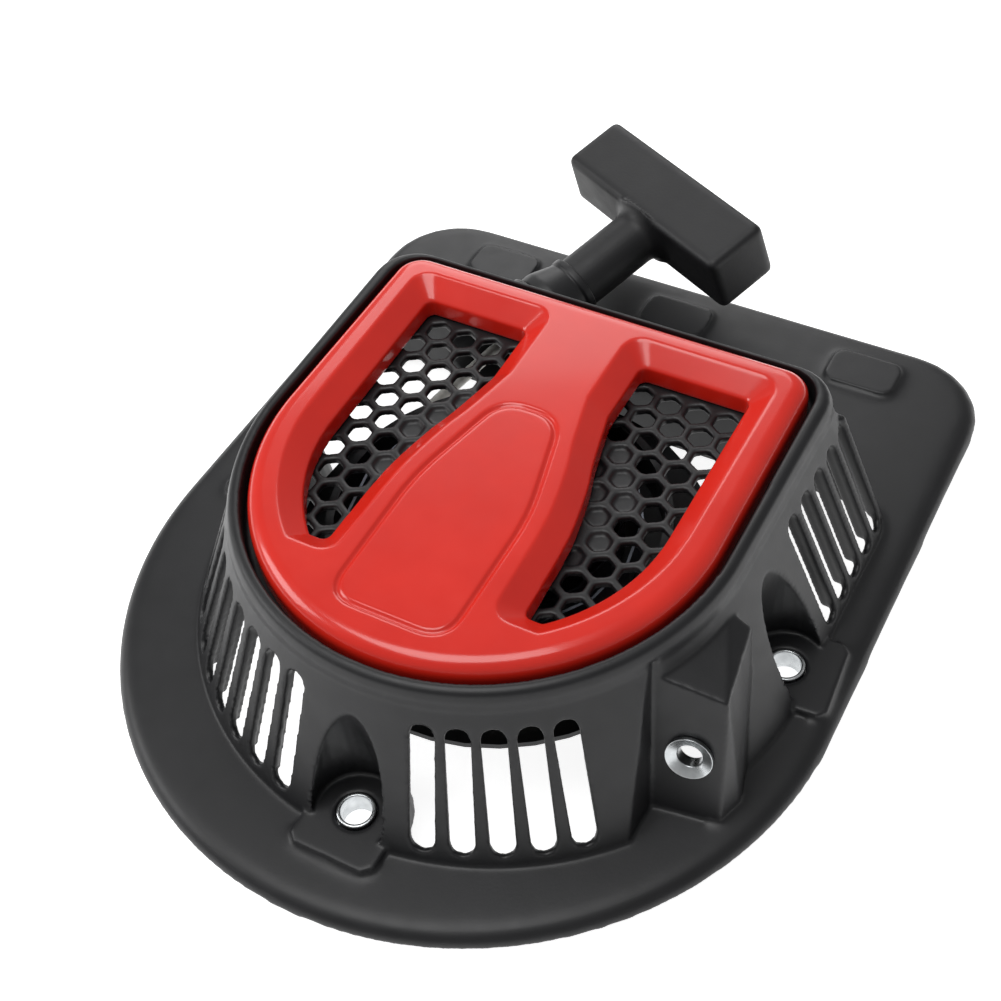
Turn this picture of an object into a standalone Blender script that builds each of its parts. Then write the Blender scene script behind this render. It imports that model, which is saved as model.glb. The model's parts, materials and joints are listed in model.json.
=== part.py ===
"""Recoil starter for a small petrol engine: blower housing, snap-in cover, rope reel and pull handle.

Units are metres, +Z is up and away from the engine.  While it is built, the reel turns about the Z axis
and the seat plane is z = 0; the last step moves everything so that the origin is under the middle.
"""
import math

import bmesh
import bpy
from mathutils import Matrix, Vector

mm = 0.001

# ---- clearances
gap = 0.3 * mm                     # between pieces that seat on or in each other
rope_play = 0.4 * mm               # round the rope in the handle
bore_play = 1.0 * mm               # round the rope in the guide

# ---- cover
cover_radius = 69.2 * mm           # round front of the cover
cover_side_draw = 0.9 * mm         # how much narrower its rear half is
cover_rear = 69.8 * mm             # reel axis to the cover's straight rear edge
cover_corner = 9.0 * mm
cover_top = 60.5 * mm
cover_edge = 5.0 * mm              # rounding of the top edge
cover_wall = 2.2 * mm
cover_gap = 2.0 * mm               # dark groove round the cover

# ---- windows in the cover
window_rim = 9.2 * mm              # cover edge to the window's upper edge
window_rear_rim = 7.4 * mm
window_front_rim = 23.2 * mm
window_slope = 6.5 * mm            # width of the sloping face
window_slope_depth = 5.0 * mm
window_corner = 6.0 * mm
window_sleeve = 2.0 * mm
spine_half = 12.5 * mm             # half width of the solid middle at the rear
spine_front_half = 24.0 * mm
spine_bends = ((12.5, 34.0), (16.5, 17.0), (19.5, 7.0), (22.5, -8.0), (23.5, -20.0))

# ---- panel line on the spine: half width, place along Y and corner rounding, from the front
panel_line = ((18.0, -58.0, 6.0), (18.0, -12.0, 20.0), (9.4, 23.2, 4.5))
panel_groove = 0.8 * mm

# ---- blower housing
wall = 2.5 * mm
ring_width = 4.7 * mm              # shoulder outside the cover groove
ring_rear_width = 2.6 * mm
crown_height = 51.0 * mm           # where the sloping wall meets the shoulder
ring_height = 57.8 * mm
dome_lean = math.radians(21.5)     # slope of the side wall from upright
dome_rear_lean = 2.6 * mm
dome_corner = 14.0 * mm
deck_top = 49.0 * mm               # face of the honeycomb grille
flange_top = 5.0 * mm
flange_edge = 5.8 * mm
flange_margin = 16.9 * mm          # land outside the dome's foot
flange_rear_land = 68.6 * mm
flange_corner = 27.1 * mm
flange_side_draw = 1.7 * mm
flange_shift = (-4.6 * mm, -7.5 * mm)

# ---- honeycomb
cell_pitch = 9.0 * mm
cell_width = 6.7 * mm
cell_first = (25.5 * mm, 43.0 * mm)
cell_solid_radius = 38.5 * mm      # cells nearer the hub are only dimples
dimple_depth = 1.2 * mm

# ---- cooling slots
slot_width = 6.8 * mm
slot_low = 8.0 * mm
slot_high = 46.3 * mm
slot_first_angle = 14.3            # degrees from the front middle
slot_step_front = 6.85
slot_step_left = 7.03
slot_count_front = 5
slot_count_left = 9
slot_side_first = 27.7 * mm
slot_side_step = 9.4 * mm
slot_side_count = 5

# ---- mounting points
bush_inset = 7.5 * mm              # inside the dome's foot
bush_angles = {"front": -90.0, "right": 5.1, "left": 174.9}
bush_outer = 5.5 * mm
bush_bore = 4.4 * mm
bush_proud = 0.6 * mm
bush_boss = 8.5 * mm
pad_height = 2.0 * mm
pad_half = 13.3 * mm
pad_reach = 8.0 * mm               # past the dome's foot
pad_chamfer = 2.5 * mm
pad_root = 1.0 * mm                # how deep pads and bosses are sunk where they join
pocket_low_radius = 13.5 * mm
pocket_high_radius = 7.5 * mm
pocket_high = 45.0 * mm
rear_pad_size = (23.5 * mm, 15.0 * mm)
rear_pad_height = 1.5 * mm
rear_pad_corner = 4.0 * mm
rear_pad_middle = -3.3 * mm
rear_pad_step = 67.3 * mm
rear_pad_inset = 17.8 * mm         # pad centre to the flange's rear edge

# ---- side block with its eyelet
eyelet_inset = 4.8 * mm            # inside the dome's foot
eyelet_angle = math.radians(-27.86)
eyelet_height = 25.0 * mm
block_normal = Vector((0.145, -0.945, 0.291)).normalized()
block_reach = 8.4 * mm             # eyelet to the block's left edge, at its foot
block_reach_top = 12.9 * mm
block_width = 11.1 * mm            # eyelet to the block's right edge
block_width_top = 7.3 * mm
block_side_from = (13.5 * mm, 3.1 * mm)      # corners of its right side, from the eyelet
block_back_from = (7.8 * mm, 23.7 * mm)
block_tip_from = (3.1 * mm, 32.2 * mm)
block_root_from = 18.9 * mm
block_slant = 6.5 * mm             # width of the slanting top edge
block_high = 47.5 * mm
block_low = 44.0 * mm
eyelet_flange = 6.5 * mm
eyelet_lip = 1.5 * mm              # height of its rim over its seat
eyelet_lip_round = 0.4 * mm
eyelet_dish = 1.1 * mm             # fall from the rim to the bore
eyelet_bore = 3.5 * mm
eyelet_tube = 4.4 * mm
eyelet_length = 3.6 * mm
eyelet_hole_depth = 12.0 * mm

# ---- reel, on the post under the deck
reel_inset = 7.2 * mm              # inside the front part's radius
groove_depth = 12.0 * mm
reel_wall = 2.4 * mm
reel_flange = 2.0 * mm
reel_low = 13.0 * mm               # under face of the lower flange
groove_width = 8.6 * mm
cup_height = 14.4 * mm             # spring cup above the reel
skirt_low = 5.5 * mm
hub_wall = 3.7 * mm
post_radius = 8.0 * mm
collar_radius = 12.0 * mm
reel_bush_wall = 1.7 * mm
notch_angle = 20.0                 # degrees
notch_half = 14.0
notch_side = 2.6                   # degrees taken by each side wall
notch_depth = 6.0 * mm

# ---- spring
spring_turns = 6
spring_points = 16                 # per turn
spring_thickness = 0.8 * mm
spring_height = 11.0 * mm
spring_rise = 1.9 * mm             # above the cup's floor

# ---- stack under the post
washer_thickness = 1.5 * mm
washer_radius = 13.0 * mm
disc_radius = 34.0 * mm
disc_thickness = 1.5 * mm
clamp_thickness = 2.0 * mm
clamp_reach = 30.0 * mm
clamp_end_half = 10.0 * mm
clamp_waist_half = 8.2 * mm
clamp_hub = 13.0 * mm
bolt_radius = 3.0 * mm
bolt_flange_radius = 9.0 * mm
bolt_flange_thickness = 1.2 * mm
bolt_flats = 13.0 * mm
bolt_head = 4.0 * mm
bolt_grip = 27.0 * mm
insert_wall = 1.5 * mm
insert_length = 24.0 * mm

# ---- cover screws
screw_radius = 1.5 * mm
screw_head = 3.2 * mm
screw_head_height = 2.2 * mm
screw_length = 9.0 * mm
screw_boss = 3.3 * mm
screw_inset = 7.7 * mm
screw_front_angle = 50.0
screw_rear_y = 45.0 * mm

# ---- rope and pull handle; distances along the pull axis are from the middle of the bar
rope_diameter = 4.0 * mm
pull_middle = -14.6 * mm           # the bar's middle along X
pull_reach = 68.6 * mm             # behind the dome's foot
pull_height = 34.5 * mm
pull_turn = math.radians(25.5)     # from +Y towards +X
pull_rise = math.radians(13.5)
bar_length = 79.0 * mm
bar_low_length = 76.0 * mm
bar_depth = 22.6 * mm
bar_height = 21.6 * mm
bar_rounding = 2.4 * mm
stem_radius = 9.15 * mm
stem_end = 49.5 * mm
knot_recess_radius = 7.0 * mm
knot_recess_floor = 1.0 * mm
knot_radius = 4.7 * mm
knot_washer_radius = 6.3 * mm
knot_washer_thickness = 1.2 * mm
guide_mouth = 40.5 * mm
guide_ridge = 10.4 * mm
guide_waist = 10.0 * mm
guide_flare = 12.5 * mm
guide_flare_at = 51.5 * mm
guide_seat = 55.5 * mm
guide_spigot = 6.0 * mm
guide_end = 61.5 * mm
guide_exit = 5.0 * mm
boss_radius = 14.0 * mm
boss_wall = 3.0 * mm
boss_depth = 30.0 * mm
reel_knot_angle = 95.0
reel_knot_radius = 3.5 * mm

# ---- worked out from the sizes above
front_steps = 14
corner_steps = 6
deck_low = deck_top - wall
crown_radius = cover_radius + cover_gap + ring_width
foot_radius = crown_radius + (crown_height - flange_top) * math.tan(dome_lean)
crown_rear = cover_rear + cover_gap + ring_rear_width
foot_rear = crown_rear + dome_rear_lean
reel_radius = min(cover_radius, cover_rear) - reel_inset
reel_floor = reel_radius - groove_depth      # radius of the rope groove's floor
eyelet_reach = foot_radius - eyelet_inset
eyelet_at = Vector((eyelet_reach * math.cos(eyelet_angle), eyelet_reach * math.sin(eyelet_angle),
                    eyelet_height))
block_left = eyelet_at.x - block_reach
block_left_top = eyelet_at.x - block_reach_top
block_right = eyelet_at.x + block_width
block_right_top = eyelet_at.x + block_width_top
block_side = (eyelet_at.x + block_side_from[0], eyelet_at.y + block_side_from[1])
block_back = (eyelet_at.x + block_back_from[0], eyelet_at.y + block_back_from[1])
block_tip = (eyelet_at.x + block_tip_from[0], eyelet_at.y + block_tip_from[1])
block_root = eyelet_at.x - block_root_from
flange_radius = foot_radius + flange_margin
flange_rear = foot_rear + flange_rear_land
bush_circle = foot_radius - bush_inset
pad_top = flange_top + pad_height
cover_low = deck_top + gap
groove_low = reel_low + reel_flange
groove_high = groove_low + groove_width
reel_high = groove_high + reel_flange
cup_top = reel_high + cup_height
hub_bore = post_radius + 2 * gap + reel_bush_wall
post_end = reel_low
washer_high = groove_low - gap
disc_high = post_end - gap
clamp_high = disc_high - disc_thickness - gap
bolt_seat = clamp_high - clamp_thickness - gap
insert_radius = bolt_radius + gap + insert_wall
rope_radius = rope_diameter / 2
rope_run = reel_floor + 1.5 * rope_diameter      # radius at which the rope leaves the reel
rope_level = (groove_low + groove_high) / 2
boss_face = guide_seat + gap
pull_centre = Vector((pull_middle, foot_rear + pull_reach, pull_height))


# ------------------------------------------------------------------ scene and materials
def clear_scene():
    for item in list(bpy.data.objects):
        bpy.data.objects.remove(item, do_unlink=True)
    for group in list(bpy.data.collections):
        bpy.data.collections.remove(group)


def new_collection(name):
    group = bpy.data.collections.new(name)
    bpy.context.scene.collection.children.link(group)
    return group


def new_material(name, colour, roughness, metallic=0.0):
    material = bpy.data.materials.new(name)
    material.use_nodes = True
    shader = material.node_tree.nodes["Principled BSDF"]
    shader.inputs["Base Color"].default_value = (*colour, 1.0)
    shader.inputs["Roughness"].default_value = roughness
    shader.inputs["Metallic"].default_value = metallic
    return material


clear_scene()
parts = new_collection("recoil_starter")
cutters = new_collection("cutters")
frame = bpy.data.objects.new("recoil_starter_frame", None)
parts.objects.link(frame)

black_plastic = new_material("black_plastic", (0.022, 0.022, 0.025), 0.5)
red_plastic = new_material("red_plastic", (0.72, 0.03, 0.02), 0.18)
black_rubber = new_material("black_rubber", (0.015, 0.015, 0.017), 0.6)
zinc_steel = new_material("zinc_steel", (0.72, 0.73, 0.74), 0.3, 1.0)
spring_steel = new_material("spring_steel", (0.28, 0.30, 0.34), 0.35, 1.0)
bronze = new_material("bronze", (0.55, 0.38, 0.16), 0.4, 1.0)
rope_white = new_material("rope_white", (0.78, 0.77, 0.73), 0.85)


# ------------------------------------------------------------------ shape helpers
def add_part(item, material, smooth=True):
    parts.objects.link(item)
    item.parent = frame
    item.data.materials.clear()
    item.data.materials.append(material)
    if smooth:
        item.data.shade_smooth()
        item.data.set_sharp_from_angle(angle=math.radians(35))
    return item


def add_tool(item):
    cutters.objects.link(item)
    item.parent = frame
    item.hide_render = True
    item.display_type = "WIRE"
    return item


def mesh_object(name, shape):
    """Object from a bmesh, with all its faces turned outwards."""
    bmesh.ops.recalc_face_normals(shape, faces=shape.faces)
    mesh = bpy.data.meshes.new(name)
    shape.to_mesh(mesh)
    shape.free()
    return bpy.data.objects.new(name, mesh)


def arc(centre, radius, start, end, steps):
    """Points on an arc, angles in degrees, both ends included."""
    points = []
    for step in range(steps + 1):
        angle = math.radians(start + (end - start) * step / steps)
        points.append((centre[0] + radius * math.cos(angle), centre[1] + radius * math.sin(angle)))
    return points


def rounded(corners, steps):
    """Closed outline through (x, y, radius) corners, each rounded by its own radius."""
    outline = []
    for index, (x, y, radius) in enumerate(corners):
        corner = Vector((x, y))
        back = (Vector(corners[index - 1][:2]) - corner).normalized()
        ahead = (Vector(corners[(index + 1) % len(corners)][:2]) - corner).normalized()
        half = back.angle(ahead) / 2
        centre = corner + (back + ahead).normalized() * radius / math.sin(half)
        first = math.degrees(math.atan2(*reversed(corner + back * radius / math.tan(half) - centre)))
        last = math.degrees(math.atan2(*reversed(corner + ahead * radius / math.tan(half) - centre)))
        turn = (last - first + 180.0) % 360.0 - 180.0
        outline += arc(centre, radius, first, first + turn, steps)
    return outline


def mirrored(outline):
    return [(-x, y) for x, y in reversed(outline)]


def d_outline(front, half, rear, corner, centre=(0.0, 0.0)):
    """A round front, two sides that touch it and two round rear corners, anticlockwise."""
    across = half - corner
    along = rear - corner - centre[1]
    touch = math.atan2(along, across) - math.acos((front - corner) / math.hypot(across, along))
    touch = math.degrees(touch)
    right = arc((0.0, centre[1]), front, -90.0, touch, front_steps)
    right += arc((across, rear - corner), corner, touch, 90.0, corner_steps)
    left = [(-x, y) for x, y in reversed(right[1:])]
    return [(centre[0] + x, y) for x, y in right + left]


def loft(name, sections):
    """Closed solid through outlines of equal count, each given with its height, lowest first."""
    shape = bmesh.new()
    rings = [[shape.verts.new((x, y, z)) for x, y in outline] for outline, z in sections]
    for low, high in zip(rings, rings[1:]):
        for index in range(len(low)):
            after = (index + 1) % len(low)
            shape.faces.new((low[index], low[after], high[after], high[index]))
    shape.faces.new(list(reversed(rings[0])))
    shape.faces.new(rings[-1])
    return mesh_object(name, shape)


def plate(name, outline, low, high):
    """Flat piece with the given outline, made as a filled 2D curve."""
    curve = bpy.data.curves.new(name, "CURVE")
    curve.dimensions = "2D"
    curve.fill_mode = "BOTH"
    curve.extrude = (high - low) / 2
    spline = curve.splines.new("POLY")
    spline.points.add(len(outline) - 1)
    for point, (x, y) in zip(spline.points, outline):
        point.co = (x, y, 0.0, 1.0)
    spline.use_cyclic_u = True
    item = mesh_from_curve(name, curve)
    item.data.transform(Matrix.Translation((0.0, 0.0, (low + high) / 2)))
    return item


def mesh_from_curve(name, curve):
    source = bpy.data.objects.new(name + "_curve", curve)
    bpy.context.scene.collection.objects.link(source)
    bpy.context.view_layer.update()
    evaluated = source.evaluated_get(bpy.context.evaluated_depsgraph_get())
    mesh = bpy.data.meshes.new_from_object(evaluated)
    bpy.data.objects.remove(source, do_unlink=True)
    shape = bmesh.new()
    shape.from_mesh(mesh)
    bmesh.ops.remove_doubles(shape, verts=shape.verts, dist=0.01 * mm)
    return mesh_object(name, shape)


def tube(name, points, radius, closed=False):
    """Round bar along a line of points."""
    curve = bpy.data.curves.new(name, "CURVE")
    curve.dimensions = "3D"
    curve.bevel_depth = radius
    curve.bevel_resolution = 2
    curve.use_fill_caps = True
    curve.resolution_u = 1
    spline = curve.splines.new("POLY")
    spline.points.add(len(points) - 1)
    for point, place in zip(spline.points, points):
        point.co = (*place, 1.0)
    spline.use_cyclic_u = closed
    return mesh_from_curve(name, curve)


def cone(name, low_radius, high_radius, low, high, segments=32, at=(0.0, 0.0)):
    """Upright cylinder or cone between two heights."""
    shape = bmesh.new()
    place = Matrix.Translation((at[0], at[1], (low + high) / 2))
    bmesh.ops.create_cone(shape, cap_ends=True, segments=segments, radius1=low_radius,
                          radius2=high_radius, depth=high - low, matrix=place)
    return mesh_object(name, shape)


def turned(name, profile, steps=40):
    """Solid of revolution about Z from a closed profile of (radius, height), outer side going down."""
    shape = bmesh.new()
    points = [shape.verts.new((radius, 0.0, height)) for radius, height in profile]
    for first, second in zip(points, points[1:] + points[:1]):
        if first.co.x > 0.0 or second.co.x > 0.0:
            shape.edges.new((first, second))
    mesh = bpy.data.meshes.new(name)
    shape.to_mesh(mesh)
    shape.free()
    item = bpy.data.objects.new(name, mesh)
    screw = item.modifiers.new("turn", "SCREW")
    screw.steps = steps
    screw.render_steps = steps
    screw.use_merge_vertices = True
    screw.merge_threshold = 0.01 * mm
    screw.use_smooth_shade = True
    return item


def hull(name, points):
    """Smallest convex solid round some points."""
    shape = bmesh.new()
    for point in points:
        shape.verts.new(point)
    made = bmesh.ops.convex_hull(shape, input=shape.verts)
    inner = made["geom_interior"] + made["geom_unused"]
    spare = set(item for item in inner if isinstance(item, bmesh.types.BMVert))
    bmesh.ops.delete(shape, geom=list(spare), context="VERTS")
    bmesh.ops.dissolve_limit(shape, angle_limit=0.001, verts=shape.verts, edges=shape.edges)
    return mesh_object(name, shape)


def boolean(item, other, operation="DIFFERENCE", solver="EXACT"):
    if other.name not in cutters.objects:
        add_tool(other)
    modifier = item.modifiers.new(operation.lower() + "_" + other.name, "BOOLEAN")
    modifier.operation = operation
    modifier.solver = solver
    modifier.object = other


def shell_boolean(item, other, operation="DIFFERENCE"):
    """For the housing, whose shell the exact solver loses where the dome's hollow passes the pockets."""
    boolean(item, other, operation, "MANIFOLD")


def quarter_round(width, height, steps):
    """Inset and rise of an edge rounding, from upright to flat."""
    turns = [math.radians(90.0 * step / steps) for step in range(steps + 1)]
    return [(width * (1 - math.cos(turn)), height * math.sin(turn)) for turn in turns]


def polar(radius, angle):
    turn = math.radians(angle)
    return Vector((radius * math.cos(turn), radius * math.sin(turn), 0.0))


def smooth_path(points, per_span):
    """Points of a Catmull-Rom curve through the route's own points."""
    ends = [2 * points[0] - points[1]] + points + [2 * points[-1] - points[-2]]
    path = []
    for index in range(len(points) - 1):
        before, start, end, after = ends[index:index + 4]
        for step in range(per_span):
            t = step / per_span
            path.append(0.5 * (2 * start + (end - before) * t
                               + (2 * before - 5 * start + 4 * end - after) * t ** 2
                               + (3 * start - 3 * end + after - before) * t ** 3))
    path.append(points[-1])
    return path


# ------------------------------------------------------------------ outlines
def cover_outline(inset):
    half = cover_radius - cover_side_draw - inset
    return d_outline(cover_radius - inset, half, cover_rear - inset, cover_corner - inset)


def recess_outline():
    half = cover_radius - cover_side_draw + cover_gap
    return d_outline(cover_radius + cover_gap, half, cover_rear + cover_gap, cover_corner + cover_gap)


def dome_outline(height, inset):
    """The housing wall at a height, moved inwards by inset."""
    rise = (crown_height - height) / (crown_height - flange_top)
    front = crown_radius + (foot_radius - crown_radius) * rise - inset
    rear = crown_rear + dome_rear_lean * rise - inset
    return d_outline(front, front, rear, dome_corner - inset)


def flange_outline(inset):
    return d_outline(flange_radius - inset, flange_radius - flange_side_draw - inset,
                     flange_rear - inset, flange_corner - inset, flange_shift)


def window_outline(inset):
    """Right-hand window, moved inwards by inset from its upper edge."""
    radius = cover_radius - window_rim - inset
    front = -(cover_radius - window_front_rim) + inset
    rear = cover_rear - window_rear_rim - inset
    corner = window_corner * (1.0 - 0.6 * max(inset, 0.0) / window_slope)
    inner_front = spine_front_half + inset
    inner_rear = spine_half + inset
    points = arc((inner_front + corner, front + corner), corner, 180.0, 270.0, 3)
    points += arc((0.0, 0.0), radius, math.degrees(math.asin(front / radius)), 0.0, 9)
    points += arc((radius - corner, rear - corner), corner, 0.0, 90.0, 4)
    points += arc((inner_rear + corner, rear - corner), corner, 90.0, 180.0, 4)
    points += [(x * mm + inset, y * mm) for x, y in spine_bends]
    return points


def both_sides(name, sections):
    """A loft of the right-hand window outlines and its mirror image, as two separate cutters."""
    right = loft(name + "_right", [(window_outline(inset), z) for inset, z in sections])
    left = loft(name + "_left", [(mirrored(window_outline(inset)), z) for inset, z in sections])
    return right, left


def inside(point, outline):
    """True where a point lies in an outline."""
    x, y = point
    found = False
    for (x1, y1), (x2, y2) in zip(outline, outline[1:] + outline[:1]):
        if (y1 > y) != (y2 > y) and x < x1 + (x2 - x1) * (y - y1) / (y2 - y1):
            found = not found
    return found


# ------------------------------------------------------------------ pull axis
pull_way = Vector((math.sin(pull_turn) * math.cos(pull_rise),
                   math.cos(pull_turn) * math.cos(pull_rise), math.sin(pull_rise)))
bar_way = Vector((math.cos(pull_turn), -math.sin(pull_turn), 0.0))
# local +Z looks back along the rope, so that turned profiles run by their distance from the bar
back_way = -pull_way
pull_turned = Matrix((bar_way, back_way.cross(bar_way), back_way)).transposed().to_4x4()
pull_frame = Matrix.Translation(pull_centre) @ pull_turned


def on_pull_axis(item):
    item.matrix_basis = pull_frame
    return item


def pull_point(distance):
    return pull_centre - pull_way * distance


# ------------------------------------------------------------------ side block
def block_y(x, z, inset=0.0):
    """Y of the block's front face at a given x and z, moved inwards by inset."""
    rest = block_normal.x * (x - eyelet_at.x) + block_normal.z * (z - eyelet_at.z) + inset
    return eyelet_at.y - rest / block_normal.y


def block_points(inset, low):
    """Corners of the block, moved inwards by inset."""
    high = block_high - inset
    edge = block_low - inset
    right = block_right - inset
    right_top = block_right_top - inset
    points = [
        (block_left_top, block_y(block_left_top, high, inset), high),
        (block_root, block_y(block_root, high, inset) + wall, high),
        (block_root, block_tip[1], high),
        (block_tip[0] - block_slant, block_tip[1] - inset, high),
        (block_tip[0] - inset, block_tip[1] - inset, edge),
        (right_top, block_y(right_top, edge, inset), edge),
        (block_left, block_y(block_left, low, inset), low),
        (right, block_y(right, low, inset), low),
        (block_side[0] - inset, block_side[1], low),
        (block_back[0] - inset, block_back[1] - inset, low),
        (block_root, block_tip[1], low),
        (block_root, block_y(block_root, low, inset) + wall, low),
    ]
    return points


def notch_points(outset, low):
    """Corners of the space cut away in front of the block, grown by outset."""
    high = crown_height + 2 * mm
    far_x = foot_radius + flange_margin
    far_y = -foot_radius * 0.85
    lean = (block_left_top - block_left) / (block_high - flange_top)
    points = []
    for z in (low, high):
        left = block_left + lean * (z - flange_top) - outset
        points += [(left, block_y(left, z, outset), z), (far_x, block_y(far_x, z, outset), z),
                   (left, far_y, z), (far_x, far_y, z)]
    return points


# ------------------------------------------------------------------ blower housing
def slot_cutter(name, frame_at):
    """One upright slot with round ends, in a frame whose X points out of the wall's foot circle."""
    low_x = foot_radius - (slot_low - flange_top) * math.tan(dome_lean)
    high_x = foot_radius - (slot_high - flange_top) * math.tan(dome_lean)
    length = math.hypot(low_x - high_x, slot_high - slot_low)
    half = length / 2 - slot_width / 2
    outline = arc((0.0, half), slot_width / 2, 0.0, 180.0, 4)
    outline += arc((0.0, -half), slot_width / 2, 180.0, 360.0, 4)
    item = plate(name, outline, -3.2 * wall, 3.2 * wall)
    # outline Y runs up the wall and the plate's thickness runs through it
    up = Vector((-math.sin(dome_lean), 0.0, math.cos(dome_lean)))
    out = Vector((math.cos(dome_lean), 0.0, math.sin(dome_lean)))
    across = up.cross(out)
    turn = Matrix((across, up, out)).transposed().to_4x4()
    middle = Matrix.Translation(((low_x + high_x) / 2, 0.0, (slot_low + slot_high) / 2))
    item.matrix_basis = frame_at @ middle @ turn
    return item


def slot_frames():
    frames = []
    angles = [-90.0 + slot_first_angle + slot_step_front * step for step in range(slot_count_front)]
    angles += [-90.0 - slot_first_angle - slot_step_left * step for step in range(slot_count_left)]
    for angle in angles:
        frames.append(Matrix.Rotation(math.radians(angle), 4, "Z"))
    for step in range(slot_side_count):
        y = slot_side_first + slot_side_step * step
        frames.append(Matrix.Translation((0.0, y, 0.0)))
        frames.append(Matrix.Translation((0.0, y, 0.0)) @ Matrix.Rotation(math.pi, 4, "Z"))
    return frames


def cell_cutters():
    """Hexagonal holes seen through the windows, and shallow dimples round the hub."""
    seen = window_outline(window_slope * 0.6)
    row_step = cell_pitch * math.sqrt(3) / 2
    rows = math.ceil((cover_radius + cover_rear) / row_step)
    columns = math.ceil(cover_radius / cell_pitch)
    shape = bmesh.new()
    high = deck_top + wall
    for row in range(-rows, rows):
        y = cell_first[1] + row_step * row
        for column in range(-columns, columns):
            x = cell_first[0] + cell_pitch * (column + (0.5 if row % 2 else 0.0))
            if not inside((x, y), seen):
                continue
            solid = math.hypot(x, y) < cell_solid_radius
            low = deck_top - dimple_depth if solid else deck_low - wall
            for side in (1, -1):
                place = Matrix.Translation((side * x, y, (low + high) / 2))
                bmesh.ops.create_cone(shape, cap_ends=True, segments=6, radius1=cell_width / math.sqrt(3),
                                      radius2=cell_width / math.sqrt(3), depth=high - low, matrix=place)
    return mesh_object("grille_cells", shape)


def screw_places():
    front = cover_radius - screw_inset
    side = cover_radius - cover_side_draw - screw_inset
    places = [polar(front, -90.0 + screw_front_angle), polar(front, -90.0 - screw_front_angle)]
    return places + [Vector((side, screw_rear_y, 0.0)), Vector((-side, screw_rear_y, 0.0))]


def make_dome():
    """Outside of the dome with its pockets and the side block, still solid."""
    sections = [(dome_outline(z, 0.0), z) for z in (flange_top - 2 * mm, crown_height)]
    rise = ring_height - crown_height
    for inset, up in quarter_round(ring_width * 0.65, rise, 3)[1:]:
        sections.append((dome_outline(crown_height, inset * 0.9), crown_height + up))
    dome = add_tool(loft("dome_outside", sections))
    for name, angle in bush_angles.items():
        place = polar(bush_circle, angle)
        shell_boolean(dome, cone("pocket_" + name, pocket_low_radius, pocket_high_radius,
                                 pad_top - 9 * mm, pocket_high, 24, place))
    shell_boolean(dome, hull("block_notch", notch_points(0.0, flange_top - 4 * mm)))
    shell_boolean(dome, hull("block_outside", block_points(0.0, flange_top - 1.5 * mm)), "UNION")
    return dome


def make_dome_hollow():
    """Inside of the dome, leaving a wall behind each pocket and the notch."""
    hollow = add_tool(loft("dome_inside", [(dome_outline(z, wall), z) for z in (-2 * mm, deck_low)]))
    shell_boolean(hollow, hull("block_notch_wall", notch_points(wall, flange_top - wall - 0.1 * mm)))
    shell_boolean(hollow, hull("block_inside", block_points(wall, -1 * mm)), "UNION")
    for name, angle in bush_angles.items():
        place = polar(bush_circle, angle)
        shell_boolean(hollow, cone("pocket_wall_" + name, pocket_low_radius + wall,
                                   pocket_high_radius + wall, pad_top - wall - 0.1 * mm,
                                   pocket_high + wall, 24, place))
    return hollow


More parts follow.
